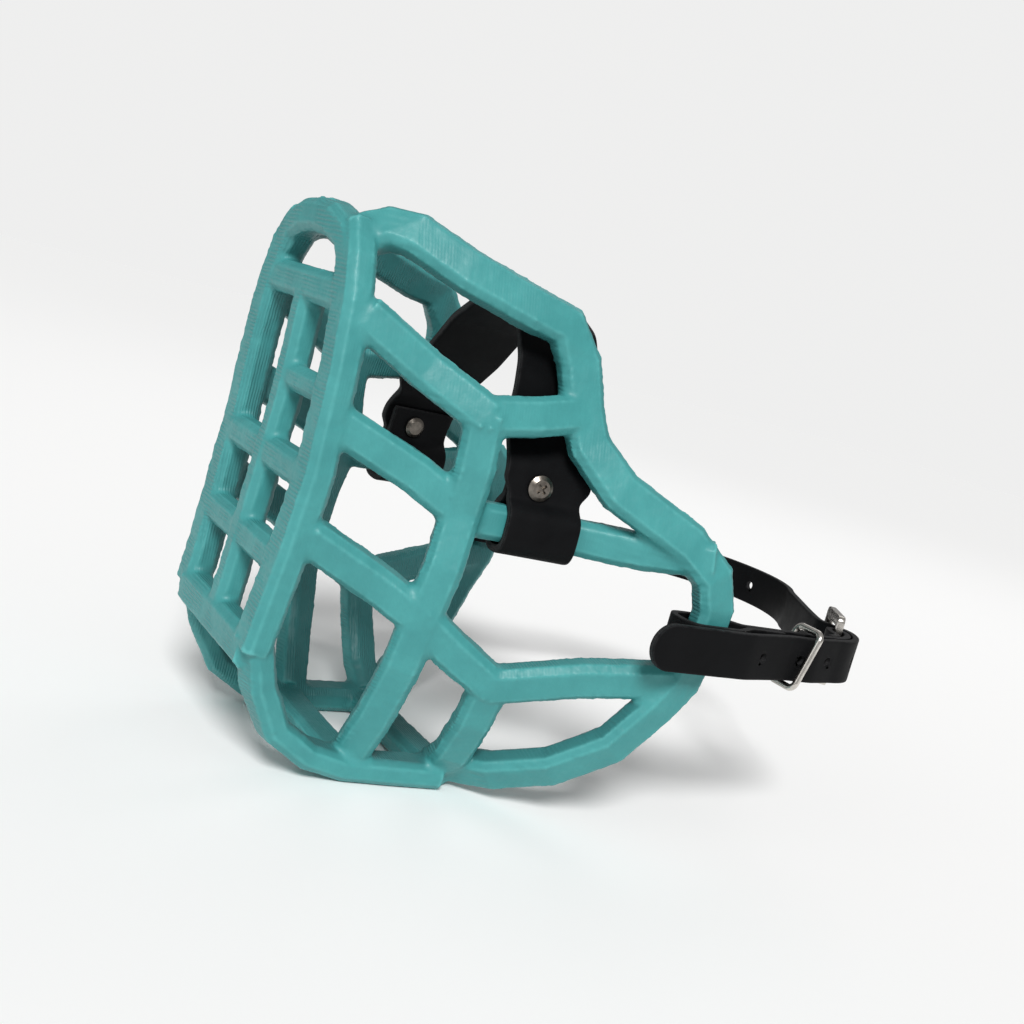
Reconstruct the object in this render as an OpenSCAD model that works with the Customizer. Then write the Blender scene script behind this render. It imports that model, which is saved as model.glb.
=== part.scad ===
// Basket muzzle for a large dog: a moulded lattice basket, a nose band looped
// round its two waist bars, and a buckled neck strap looped round its rear rim.
// The nose points to -Y, the wearer's left is +X and up is +Z. All sizes are in mm.

/* [Basket] */
// Height from the bottom rails to the top rail
basket_height = 154; // [120:1:190]
// Depth from the nose face to the back of the rim
basket_depth = 122; // [95:1:150]
// Width across the cheeks at the rear rim
rim_width = 134; // [105:1:165]
// Width of a bar, measured along the basket's surface
bar_width = 10.5; // [8:0.5:12]
// Thickness of a bar, measured through the basket's surface
bar_thickness = 7.5; // [6:0.5:9]
// Chamfer along each edge of a bar
bar_chamfer = 1.8; // [1:0.1:2.5]

/* [Nose band] */
// Width of the band over the nose
band_width = 25; // [20:1:32]
// Width of the narrowed end that loops round the waist bar
band_end_width = 21; // [18:1:30]
// Thickness of the band
band_thickness = 2.2; // [1.5:0.1:3]
// Gap left all round the waist bar inside the band's loop
band_loop_gap = 0.7; // [0.4:0.1:1.5]

/* [Neck strap] */
// Width of the neck strap
strap_width = 13; // [10:1:20]
// Thickness of the neck strap
strap_thickness = 2; // [1.5:0.1:3]
// Gap left beside the rim bar inside each strap loop
rim_loop_gap = 1.2; // [0.6:0.1:2]
// Diameter of the punched holes
punch_diameter = 3; // [2:0.1:4]

/* [Hardware] */
// Diameter of the screw and post heads on the nose band
head_diameter = 7; // [5:0.5:9]
// Height of those heads
head_height = 1.4; // [1:0.1:2]
// Outside diameter of the hollow posts
post_diameter = 4; // [3.5:0.1:5]
// Diameter of the screw shanks inside the posts
shank_diameter = 2.6; // [2:0.1:3]
// Diameter of the rivet heads on the neck strap
rivet_head_diameter = 6; // [4:0.5:8]
// Wire diameter of the keeper ring
ring_wire = 2; // [1:0.1:2.5]
// Wire diameter of the buckle's bars
buckle_wire = 2.8; // [2:0.1:3.5]
// Distance from the buckle's heel bar to its far bar
buckle_length = 14; // [12:0.5:20]
// Diameter of the buckle's prong
prong_diameter = 1.8; // [1.4:0.1:2.2]

/* [Hidden] */
$fn = 32;

teal = [0.22, 0.60, 0.60];
black = [0.07, 0.07, 0.08];
nickel = [0.75, 0.74, 0.72];
gunmetal = [0.35, 0.34, 0.32];

// The shape is laid out on a basket 154 high, 122 deep and 134 wide, and stretched from there.
function at(x, y, z) = [x * rim_width / 134, y * basket_depth / 122, z * basket_height / 154];
function unit(v) = v / norm(v);
function turned(v, a) = [v.x * cos(a) - v.y * sin(a), v.x * sin(a) + v.y * cos(a)];

// Outward direction of the side walls, the chin and the nose face.
function wall_out(p) = unit([p.x, (p.y - 75) * 0.28, (p.z - 75) * 0.3]);
function chin_out(p) = unit([max(p.z - 8, 0) * 0.25, min(p.y + 4, 0), min(p.z - 36, 0)]);

// Points of the left side, on the outside of its wall.
cheek_top = at(48.5, 8, 110);
cheek_mid = at(45, 10, 84);
cheek_low = at(46, 6, 54);
jaw = at(51, 29, 39.2);
rim_top = at(47, 37.5, 116);
rim_waist = at(66.5, 78, 86);
rim_hinge = at(67, 83.6, 72);
rim_low = at(66, 80.3, 50.8);
chin_front = at(25.5, 4, 5.9);
chin_rear = at(28, 32, 5.9);

top_rail = [at(22, -26, 147), at(25, -20.5, 150), at(29, -15, 150), at(36, -1, 144.5),
            at(41, 18, 139.5), at(42.5, 28, 137.5), at(44, 34, 129), rim_top,
            at(50, 40.5, 108), at(56, 50, 98.5), at(64, 71, 89), at(66.5, 80.4, 81.5), rim_hinge];
rear_rim = [rim_hinge, at(67, 82.6, 62), rim_low, at(64.5, 75.5, 42), at(60, 67.5, 28),
            at(51, 56, 16.5), at(40, 44, 9.5), at(28, 34, 6)];
upper_brace = [at(35, -25, 127), at(40, -8, 118), cheek_top];
upper_tie = [cheek_top, at(49, 22, 112.5), rim_top];
upper_post = [cheek_top, at(48, 9, 97), cheek_mid];
middle_brace = [at(36, -25, 99), at(41, -4, 91), cheek_mid];
waist_bar = [cheek_mid, at(43.5, 15, 82.5), at(47, 45, 82.5), at(57, 61, 83.5), rim_waist];
lower_post = [cheek_mid, at(47, 8, 69), cheek_low];
lower_brace = [at(36, -26, 69), at(40, -8, 61), cheek_low];
jaw_brace = [cheek_low, at(48, 16, 47), jaw];
jaw_tie = [jaw, at(58, 53, 45.8), rim_low];

// Points through the middle of the bars of the nose face and the chin.
nose_rib = [at(19.5, -25.5, 145), at(25, -26, 138), at(29, -26, 128), at(31, -26, 112),
            at(31.5, -26, 85), at(30.5, -27.5, 65), at(29, -28.8, 50), at(28, -30, 38)];
chin_rail = [at(28, -30, 40), at(27, -25.5, 27), at(26, -18.3, 15.3), at(25.5, -7.6, 8.8),
             chin_front, at(27, 18, 5.9), chin_rear];
front_leg = [cheek_low, at(43, 5.5, 40), at(36, 5, 23), at(28, 4, 8)];
rear_leg = [jaw, at(46, 30, 27), at(38, 31, 14), at(30, 32, 7)];
nose_arch = [at(24, -26, 139), at(19, -26.5, 144), at(10, -27, 146.8), at(0, -27, 147.5)];
middle_bar = [at(0, -26, 131), at(0, -26, 100), at(0, -28, 65), at(0, -30, 36)];

// The waist bar under the nose band: a point on its middle, and its slant from front to back.
band_y = at(0, 33, 0).y;
bar_run = waist_bar[2] - waist_bar[1];
bar_slant = atan2(bar_run.x, bar_run.y);
bar_share = (band_y - waist_bar[1].y) / bar_run.y;
bar_spot = waist_bar[1] + bar_run * bar_share;
bar_centre = bar_spot - wall_out(bar_spot) * bar_thickness / 2;
screw_rise = 11.4;
screw_shift = -2.5;

// The rim bar inside the neck strap's loops.
strap_z = at(0, 0, 62.8).z;
rim_centre = [at(66.8, 0, 0).x - bar_thickness / 2, at(0, 82.4, 0).y];

// The basket with its straps reaches this far to the front and back, so the origin is midway.
front_reach = at(0, -34.6, 0).y;
back_reach = 175.6;
mid_y = (front_reach + back_reach) / 2;
floor_z = chin_rear.z - bar_thickness / 2;
module in_frame() translate([0, -mid_y, -floor_z]) children();

// ---- helpers ----

// One cross-section of a bar: a chamfered rectangle across direction d, with its thickness along n.
function section(p, d, n, w, t) =
    let (m = unit(n - d * (n * d)), s = cross(d, m), c = bar_chamfer)
    [for (a = [[1, 1], [-1, 1], [-1, -1], [1, -1]], k = [0, 1])
        let (first = (a.x * a.y > 0) == (k == 0))
        grid(p + s * a.x * (w / 2 - (first ? 0 : c)) + m * a.y * (t / 2 - (first ? c : 0)))];
function grid(v) = [for (x = v) round(x * 50) / 50];

function heading(path, i) =
    unit(path[min(i + 1, len(path) - 1)] - path[max(i - 1, 0)]);

// A bar through the points of path. Which: 0 side wall, 1 chin, 2 nose face, 3 floor.
function outward(p, which) = which == 0 ? wall_out(p) : which == 1 ? chin_out(p)
    : which == 2 ? [0, -1, 0] : [0, 0, -1];
module bar(path, which = 0, w = bar_width, t = bar_thickness) {
    inset = which == 0 ? t / 2 : 0;
    last = len(path) - 1;
    // Each end runs on a little, into the bars that it meets.
    mids = [for (i = [0:last]) path[i] - outward(path[i], which) * inset
        + heading(path, i) * (i == 0 ? -0.9 : i == last ? 0.9 : 0)];
    polyhedron(
        [for (i = [0:last]) each section(mids[i], heading(mids, i), outward(path[i], which), w, t)],
        concat(
            [for (j = [1:6]) [0, j + 1, j], for (j = [1:6]) [8 * last, 8 * last + j, 8 * last + j + 1]],
            [for (i = [0:last - 1], j = [0:7], h = [0, 1])
                let (a = 8 * i + j, b = 8 * i + (j + 1) % 8)
                h == 0 ? [a, b, b + 8] : [a, b + 8, a + 8]]));
}

// Points of an arc round c, from angle a to angle b.
function arc(c, r, a, b, n = 8) =
    [for (i = [0:n]) let (g = a + (b - a) * i / n) c + r * [cos(g), sin(g)]];
// Points beside a path, d to its left.
function beside(path, d) = [for (i = [0:len(path) - 1])
    let (u = i > 0 ? unit(path[i] - path[i - 1]) : unit(path[1] - path[0]),
         v = i < len(path) - 1 ? unit(path[i + 1] - path[i]) : u,
         m = unit(u + v), k = max(m * u, 0.5))
    path[i] + [-m.y, m.x] * d / k];
// A strap seen edge-on: the path's ribbon, t thick.
module ribbon(path, t)
    polygon(concat(beside(path, t / 2),
        [for (q = [len(path) - 1:-1:0]) beside(path, -t / 2)[q]]));

// ---- basket ----

module basket_side() {
    bar(top_rail, w = bar_width + 1);
    bar(rear_rim, w = bar_width + 1);
    bar(upper_brace);
    bar(upper_tie);
    bar(upper_post);
    bar(middle_brace);
    bar(waist_bar, w = 10);
    bar(lower_post);
    bar(lower_brace);
    bar(jaw_brace);
    bar(jaw_tie);
    bar(front_leg);
    bar(rear_leg);
    bar(nose_rib, 2, 11.5, 8);
    bar(chin_rail, 1);
    bar(nose_arch, 2, 9, 8);
}

module basket() color(teal) in_frame() union() {
    for (m = [0, 1]) mirror([m, 0, 0]) basket_side();
    bar(middle_bar, 2, 8.5, 7.5);
    // Four rungs across the nose face, and a short one beside the middle bar.
    bar([at(-28, -26, 129.5), at(28, -26, 129.5)], 2, 9, 7.5);
    bar([at(-31, -26.5, 84), at(31, -26.5, 84)], 2, 8.5, 7.5);
    bar([at(-30, -28, 61), at(30, -28, 61)], 2, 8.5, 7.5);
    bar([at(-27.5, -30, 36.5), at(27.5, -30, 36.5)], 2, 10.5, 8);
    bar([at(0, -26, 105), at(31, -26, 105)], 2, 7, 6);
    // Two rungs across the bottom.
    bar([[-chin_front.x, chin_front.y, chin_front.z], chin_front], 3);
    bar([[-chin_rear.x, chin_rear.y, chin_rear.z], chin_rear], 3);
}

// ---- nose band ----

// Edge-on line of one end, from its cut end inside, round the bar and up to the shoulder.
// x is outward from the bar's middle and y is up.
loop_out = bar_thickness / 2 + band_loop_gap + band_thickness / 2;
loop_low = 5 + band_loop_gap + band_thickness / 2;
ply = band_thickness / 2 + 0.1;
end_line = concat(
    [[-ply, screw_rise + 5.5], [-ply, screw_rise - 4.2], [-loop_out, 4]],
    arc([-loop_out + 3.4, -loop_low + 3.4], 3.4, 180, 270, 5),
    arc([loop_out - 3.4, -loop_low + 3.4], 3.4, 270, 360, 5),
    [[loop_out, 4], [ply, screw_rise - 4.2], [ply, screw_rise + 4]]);
rise_line = [[ply, screw_rise + 4], [-1, screw_rise + 7.4], [-4.6, screw_rise + 11.8]];

// Where pieces of the band are joined, one is this much thicker and wider than the other.
lap = 0.06;

// Each end may lean in about its waist bar. The one on the right hangs slack.
lean_left = 0;
lean_right = 6;
module band_plane(lean) translate(bar_centre) rotate([0, 0, -bar_slant])
    rotate([0, -lean, 0]) children();
module along_bar(length) rotate([90, 0, 0]) linear_extrude(length, center = true) children();

module band_end(lean) band_plane(lean) {
    along_bar(band_end_width) ribbon(end_line, band_thickness);
    along_bar(band_width) ribbon(rise_line, band_thickness);
    // Sloped shoulders where the band narrows into the loop.
    low = (band_end_width + lap) / 2;
    high = (band_width + lap) / 2;
    translate([ply, 0, screw_rise - 1]) rotate([90, 0, 90])
        linear_extrude(band_thickness + lap, center = true)
            polygon([[-low, -2.2], [low, -2.2], [high, 0.5], [high, 5.4], [-high, 5.4], [-high, 0.5]]);
}

// Where an end's rise stops, seen from the front.
function rise_top(lean) = let (q = rise_line[2],
        x = (q.x * cos(lean) - q.y * sin(lean)) * cos(bar_slant),
        z = q.x * sin(lean) + q.y * cos(lean))
    [bar_centre.x + x, bar_centre.z + z];
top_left = rise_top(lean_left);
top_right = rise_top(lean_right);

// A smooth curve through the points of p, n steps from each to the next.
function curve(p, n = 4) = concat([for (i = [0:len(p) - 2], k = [0:n - 1])
    let (a = p[max(i - 1, 0)], b = p[i], c = p[i + 1], d = p[min(i + 2, len(p) - 1)], t = k / n)
    0.5 * (2 * b + (c - a) * t + (2 * a - 5 * b + 4 * c - d) * t * t
        + (3 * b - a - 3 * c + d) * t * t * t)], [p[len(p) - 1]]);

// Over the nose the band runs straight across, so a short twist joins it to each end.
arch_line = curve([top_left + [-0.6, 3.5], top_left + [-0.8, 12], top_left + [-2.6, 20],
    top_left + [-9, 29.5], top_left + [-20, 34.5], top_left + [-32, 33],
    top_left + [-46, 25], top_left + [-57, 14], [-top_right.x + 4.2, top_right.y + 6],
    [-top_right.x + 1.6, top_right.y + 2.4]], 3);

module over_nose(line, more = 0) translate([0, band_y, 0]) rotate([90, 0, 0])
    linear_extrude(band_width + more, center = true) ribbon(line, band_thickness + more);

// A short piece of path at q, in direction d.
function stub(q, d) = [q - unit(d) * 0.08, q + unit(d) * 0.25];
module band_twist(lean, line) hull() {
    band_plane(lean) along_bar(band_width + lap)
        ribbon(stub(rise_line[2], rise_line[1] - rise_line[2]), band_thickness + lap);
    over_nose(stub(line[0], line[1] - line[0]), lap);
}

module band_hole_axis(lean) band_plane(lean) translate([0, screw_shift, screw_rise]) rotate([0, 90, 0])
    children();

module nose_band() color(black) in_frame() difference() {
    union() {
        band_end(lean_left);
        mirror([1, 0, 0]) band_end(lean_right);
        over_nose(arch_line);
        band_twist(lean_left, arch_line);
        mirror([1, 0, 0]) band_twist(lean_right,
            [for (i = [len(arch_line) - 1:-1:0]) [-arch_line[i].x, arch_line[i].y]]);
    }
    band_hole_axis(lean_left) cylinder(h = 14, d = post_diameter + 0.6, center = true);
    mirror([1, 0, 0]) band_hole_axis(lean_right)
        cylinder(h = 14, d = post_diameter + 0.6, center = true);
}

// Two-part screws: the screw's head is outside and the post's plain head inside.
grip = band_thickness + 0.25;
module screw_shape(lean) band_hole_axis(lean) difference() {
    union() {
        translate([0, 0, -grip + 1.2]) cylinder(h = 2 * grip - 1.2, d = shank_diameter);
        translate([0, 0, grip]) cylinder(h = head_height * 0.5, d = head_diameter);
        translate([0, 0, grip + head_height * 0.5])
            cylinder(h = head_height * 0.5, d1 = head_diameter, d2 = head_diameter - 2.2);
    }
    // Cross recess.
    for (a = [0, 90]) rotate([0, 0, a + 45])
        translate([0, 0, grip + head_height]) cube([3.2, 0.8, 1.8], center = true);
}
module post_shape(lean) band_hole_axis(lean) difference() {
    union() {
        translate([0, 0, -grip - 0.01]) cylinder(h = 2 * grip - 0.29, d = post_diameter);
        translate([0, 0, -grip - head_height * 0.5])
            cylinder(h = head_height * 0.5, d = head_diameter - 0.6);
        translate([0, 0, -grip - head_height])
            cylinder(h = head_height * 0.5, d1 = head_diameter - 2.6, d2 = head_diameter - 0.6);
    }
    translate([0, 0, -grip + 0.4]) cylinder(h = 2 * grip + 1, d = shank_diameter + 0.1);
}
module nose_screw_left() color(gunmetal) in_frame() screw_shape(lean_left);
module nose_screw_right() color(gunmetal) in_frame() mirror([1, 0, 0]) screw_shape(lean_right);
module nose_post_left() color(gunmetal) in_frame() post_shape(lean_left);
module nose_post_right() color(gunmetal) in_frame() mirror([1, 0, 0]) post_shape(lean_right);

// ---- neck strap, laid out in plan ----

st = strap_thickness;
pocket_x = bar_thickness / 2 + rim_loop_gap + st / 2;
pocket_front = rim_centre.y - (bar_width + 1) / 2 - 2.2 - st / 2;
pocket_back = rim_centre.y + (bar_width + 1) / 2 + 2.6;
main_x = rim_centre.x + 0.1;
fold_x = main_x + st + 0.2;
rivet_y = pocket_back + 10.5;
cut_end_y = rivet_y + 8;

// Loop round the rim bar, from the cut end on the outside to the main layer on the inside.
rim_fold = concat(
    [[fold_x, cut_end_y], [fold_x, rivet_y - 4.5], [rim_centre.x + pocket_x, pocket_back]],
    arc([rim_centre.x + pocket_x - 4, pocket_front + 4], 4, 0, -90, 5),
    arc([rim_centre.x - pocket_x + 4, pocket_front + 4], 4, 270, 180, 5),
    [[rim_centre.x - pocket_x, pocket_back], [main_x, rivet_y - 5.5]]);

// The buckle sits where the strap turns behind the ear.
turn = 58;
turn_y = rim_centre.y + 48.7;
turn_r = 14;
turn_centre = [main_x - turn_r, turn_y];
buckle_dir = turned([0, 1], turn);
buckle_out = turned([1, 0], turn);
turn_end = turn_centre + turn_r * buckle_out;
wrap_r = buckle_wire / 2 + 0.35 + st / 2;
heel = turn_end + buckle_dir * 1.2 - buckle_out * wrap_r;
far_bar = heel + buckle_dir * buckle_length;

// A plan point near the buckle: e back from the heel bar and n outward.
function by_buckle(e, n) = heel + buckle_dir * e + buckle_out * n;

buckle_line = concat(rim_fold,
    arc(turn_centre, turn_r, 0, turn, 6),
    [for (g = [90:-20:-90]) by_buckle(cos(g) * wrap_r, sin(g) * wrap_r)],
    [by_buckle(-3.5, -wrap_r + 0.4)],
    arc(turn_centre, turn_r - st - 0.25, turn - 30, 4, 5));

module punch(p, a, d = punch_diameter, slot = 0) translate([p.x, p.y, strap_z])
    rotate([0, 0, a]) rotate([0, 90, 0])
        if (slot > 0) hull() for (k = [-1, 1]) translate([0, k * slot / 2, 0])
            cylinder(h = 12, d = d, center = true);
        else cylinder(h = 3 * st, d = d, center = true);

module strap_band(line) translate([0, 0, strap_z - strap_width / 2])
    linear_extrude(strap_width) ribbon(line, st);

module buckle_strap() color(black) in_frame() difference() {
    strap_band(buckle_line);
    // Slot for the prong in the fold round the heel bar.
    translate([heel.x, heel.y, strap_z]) rotate([0, 0, turn + 90])
        translate([1, 0, 0]) cube([9, 12, 4.2], center = true);
    translate([fold_x, rivet_y, strap_z]) rotate([0, 90, 0])
        cylinder(h = 8, d = 2.6, center = true);
    buckle_rivet_axis() cylinder(h = 8, d = 2.6, center = true);
}

// The billet comes round the back from the other rim, under the far bar, up through the
// frame, over the heel bar, and forward along the outside to its tip.
outer_x = fold_x + st + 0.55;
over_r = turn_r + st + 0.45;
under_n = -buckle_wire / 2 - 1.3 - st / 2;
tip_y = rim_centre.y - 22.8;
billet_out = [for (i = [0:18]) let (g = 180 - i * 7)
    [-main_x + 44 + 44 * cos(g), turn_y - 8 + 51.5 * sin(g)]];
billet_line = concat(
    [for (q = rim_fold) [-q.x, q.y]],
    billet_out,
    [by_buckle(buckle_length + 9, under_n - 0.6), by_buckle(buckle_length + 1, under_n),
     by_buckle(buckle_length - 2.6, under_n + 0.5),
     by_buckle(4.6, wrap_r + st / 2 + 0.6), by_buckle(1.5, wrap_r + st + 0.45)],
    arc(turn_centre, over_r, turn, 0, 6),
    [[outer_x, turn_y - 10], [outer_x, cut_end_y + 2],
     [rim_centre.x + pocket_x + st + 0.6, pocket_back + 2],
     [rim_centre.x + pocket_x + st + 0.7, rim_centre.y - 6],
     [rim_centre.x + pocket_x + st + 0.7, tip_y]]);

module billet_strap() color(black) in_frame() difference() {
    strap_band(billet_line);
    // Rounded tip.
    translate([outer_x + 4, tip_y, strap_z]) rotate([90, 0, 90])
        linear_extrude(12, center = true) difference() {
            translate([-1, -8]) square([1 + strap_width / 2, 16]);
            translate([strap_width / 2, 0]) circle(strap_width / 2);
        }
    // Punched holes, the stretched one that the prong is in, and the rivet's hole.
    for (d = [15.5, 33, 44.3]) punch([outer_x + 1, rim_centre.y + d], 0);
    punch(turn_centre + over_r * [cos(turn - 23), sin(turn - 23)], turn - 23);
    punch(by_buckle(7.3, 1.2), turn, punch_diameter, 6);
    punch(billet_out[9] + [0, 0], 180 - 9 * 7);
    punch(billet_out[12] + [0, 0], 180 - 12 * 7);
    translate([-fold_x, rivet_y, strap_z]) rotate([0, 90, 0])
        cylinder(h = 8, d = 2.6, center = true);
}

// Tubular rivets close the folds. They are hidden by the strap's outer layer on the left.
module rivet_shape(plies, head = rivet_head_diameter, rise = 0.45) rotate([0, 90, 0]) {
    cylinder(h = plies + 0.3, d = 2.2, center = true);
    for (m = [0, 1]) mirror([0, 0, m]) translate([0, 0, plies / 2 + 0.02])
        cylinder(h = rise, d1 = head, d2 = head - 1.2);
}
module rivet_at_rim() translate([(main_x + fold_x) / 2, rivet_y, strap_z])
    rivet_shape(2 * st + 0.2);
module buckle_rivet_axis() translate([turn_centre.x, turn_centre.y, strap_z])
    rotate([0, 0, 16]) translate([turn_r - st / 2 - 0.24, 0, 0]) rotate([0, 90, 0]) children();
module rim_rivet_left() color(gunmetal) in_frame() rivet_at_rim();
module rim_rivet_right() color(gunmetal) in_frame() mirror([1, 0, 0]) rivet_at_rim();
module buckle_rivet() color(gunmetal) in_frame() buckle_rivet_axis() rotate([0, -90, 0])
    rivet_shape(2 * st + 0.56, rivet_head_diameter - 2, 0.26);

// ---- buckle and keeper ----

frame_inside = strap_width + 2.4;
module buckle_frame() color(nickel) in_frame()
    translate([heel.x, heel.y, strap_z]) rotate([0, 0, turn + 90]) {
        // Heel bar and far bar, with the two side bars rounded into the far bar.
        cylinder(h = frame_inside + 2, d = buckle_wire - 0.4, center = true);
        for (m = [0, 1]) mirror([0, 0, m]) translate([0, 0, (frame_inside + buckle_wire) / 2]) {
            rotate([0, 90, 0]) cylinder(h = buckle_length - 3, d = buckle_wire);
            sphere(d = buckle_wire);
            translate([buckle_length - 3, 0, -3]) rotate([90, 0, 0])
                rotate_extrude(angle = 90) translate([3, 0]) circle(d = buckle_wire);
        }
        translate([buckle_length, 0, 0])
            cylinder(h = frame_inside + buckle_wire - 6 + 0.02, d = buckle_wire, center = true);
    }

prong_rise = buckle_wire / 2 + prong_diameter / 2 + 0.05;
prong_lift = asin(prong_rise / buckle_length);
module buckle_prong() color(nickel) in_frame()
    translate([heel.x, heel.y, strap_z]) rotate([0, 0, turn + 90]) difference() {
        union() {
            cylinder(h = 3.2, d = buckle_wire - 0.3 + 2.4, center = true);
            rotate([0, 0, -prong_lift]) rotate([0, 90, 0])
                cylinder(h = buckle_length + 1.2, d = prong_diameter);
            rotate([0, 0, -prong_lift]) translate([buckle_length + 1.2, 0, 0])
                sphere(d = prong_diameter);
        }
        cylinder(h = 6, d = buckle_wire - 0.4 + 0.1, center = true);
    }

ring_y = rim_centre.y + 33.9;
ring_in_x = outer_x - main_x + st + 1.1;
ring_in_z = strap_width + 1.6;
ring_tilt = -17;
module keeper_ring() color(nickel) in_frame()
    translate([(main_x + outer_x) / 2, ring_y, strap_z]) rotate([ring_tilt, 0, 0]) {
        dx = (ring_in_x + ring_wire) / 2;
        dz = (ring_in_z + 0.8 + ring_wire) / 2;
        r = 2;
        for (s = [-1, 1]) {
            translate([s * dx, 0, 0]) cylinder(h = 2 * (dz - r), d = ring_wire, center = true);
            translate([0, 0, s * dz]) rotate([0, 90, 0])
                cylinder(h = 2 * (dx - r), d = ring_wire, center = true);
        }
        for (s = [0, 1], q = [0, 1]) mirror([s, 0, 0]) mirror([0, 0, q])
            translate([dx - r, 0, dz - r]) rotate([90, 0, 0])
                rotate_extrude(angle = 90) translate([r, 0]) circle(d = ring_wire);
    }

basket();
nose_band();
nose_screw_left();
nose_screw_right();
nose_post_left();
nose_post_right();
buckle_strap();
billet_strap();
rim_rivet_left();
rim_rivet_right();
buckle_rivet();
buckle_frame();
buckle_prong();
keeper_ring();
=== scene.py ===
import math
from collections import namedtuple

import bmesh
import bpy
import numpy as np
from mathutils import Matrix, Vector
from mathutils.geometry import delaunay_2d_cdt


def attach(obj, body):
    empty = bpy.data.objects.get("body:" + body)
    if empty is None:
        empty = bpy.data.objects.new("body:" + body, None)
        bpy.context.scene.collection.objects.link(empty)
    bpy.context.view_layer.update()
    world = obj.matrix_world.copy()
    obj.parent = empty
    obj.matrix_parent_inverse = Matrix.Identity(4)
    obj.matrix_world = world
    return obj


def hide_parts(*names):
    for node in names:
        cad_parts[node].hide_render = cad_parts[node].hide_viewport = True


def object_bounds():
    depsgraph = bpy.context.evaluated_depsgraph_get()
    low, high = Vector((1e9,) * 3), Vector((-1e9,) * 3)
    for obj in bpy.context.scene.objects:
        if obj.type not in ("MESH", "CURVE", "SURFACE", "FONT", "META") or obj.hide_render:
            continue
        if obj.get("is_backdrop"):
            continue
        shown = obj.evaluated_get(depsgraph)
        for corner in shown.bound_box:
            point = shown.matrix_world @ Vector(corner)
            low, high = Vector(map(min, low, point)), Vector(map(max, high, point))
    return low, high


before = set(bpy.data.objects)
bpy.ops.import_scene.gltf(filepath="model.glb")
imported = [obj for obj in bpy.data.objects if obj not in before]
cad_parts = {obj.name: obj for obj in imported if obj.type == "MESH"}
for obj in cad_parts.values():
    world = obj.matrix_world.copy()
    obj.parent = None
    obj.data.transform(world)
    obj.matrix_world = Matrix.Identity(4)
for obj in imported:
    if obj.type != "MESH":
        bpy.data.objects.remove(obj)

# Everything is in metres in the row frame. Lengths that are easier to read in
# millimetres are multiplied by MM.
MM = 0.001
CAD_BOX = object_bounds()
MIDDLE = [(lo + hi) / 2 for lo, hi in zip(*CAD_BOX)]
scene = bpy.context.scene

# ---- camera and light ----

CAMERA_PLACE = (0.32973, -0.22105, 0.13370)
CAMERA_TURN = (81.2808, -14.8943, 60.7126)  # degrees
LENS, SENSOR = 45.646, 36  # mm
SOFT_LIGHT = 0.30
BACKDROP = (0.86, 0.86, 0.857, 1)


def add_camera():
    data = bpy.data.cameras.new("camera")
    data.lens, data.sensor_width = LENS, SENSOR
    data.clip_start, data.clip_end = 0.01, 20
    obj = bpy.data.objects.new("camera", data)
    obj.location = CAMERA_PLACE
    obj.rotation_euler = [math.radians(a) for a in CAMERA_TURN]
    scene.collection.objects.link(obj)
    scene.camera = obj


def aim_at_middle(obj, place):
    obj.location = place
    obj.rotation_euler = (Vector(MIDDLE) - Vector(place)).to_track_quat("-Z", "Y").to_euler()
    scene.collection.objects.link(obj)


def add_sun(place, strength, spread):
    """A sun whose disc is spread degrees wide, which sets how soft its shadows are."""
    data = bpy.data.lights.new("key", "SUN")
    data.energy, data.angle = strength, math.radians(spread)
    aim_at_middle(bpy.data.objects.new("key", data), place)


def add_panel(name, place, size, power):
    data = bpy.data.lights.new(name, "AREA")
    data.shape, data.size, data.energy = "SQUARE", size, power
    aim_at_middle(bpy.data.objects.new(name, data), place)


def add_world():
    """Even light from all round, and a plain pale backdrop where the camera sees past the floor."""
    world = bpy.data.worlds.new("studio")
    world.use_nodes = True
    tree = world.node_tree
    tree.nodes.clear()
    out = tree.nodes.new("ShaderNodeOutputWorld")
    mix = tree.nodes.new("ShaderNodeMixShader")
    soft = tree.nodes.new("ShaderNodeBackground")
    plain = tree.nodes.new("ShaderNodeBackground")
    path = tree.nodes.new("ShaderNodeLightPath")
    soft.inputs["Color"].default_value = (1, 1, 1, 1)
    soft.inputs["Strength"].default_value = SOFT_LIGHT
    plain.inputs["Color"].default_value = BACKDROP
    plain.inputs["Strength"].default_value = 1.0
    tree.links.new(path.outputs["Is Camera Ray"], mix.inputs["Fac"])
    tree.links.new(soft.outputs[0], mix.inputs[1])
    tree.links.new(plain.outputs[0], mix.inputs[2])
    tree.links.new(mix.outputs[0], out.inputs["Surface"])
    scene.world = world


add_camera()
add_world()
add_sun((0.75, -0.40, 0.80), strength=3.0, spread=18)
add_panel("fill", (0.3, -0.90, 0.45), size=0.5, power=0.7)
add_panel("back", (-0.5, 0.6, 0.8), size=0.5, power=0.8)
scene.view_settings.view_transform = "Standard"

# ---- node helpers ----

WAVE_PITCH = 0.314  # the wave texture's stripe pitch at a scale of 1


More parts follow.
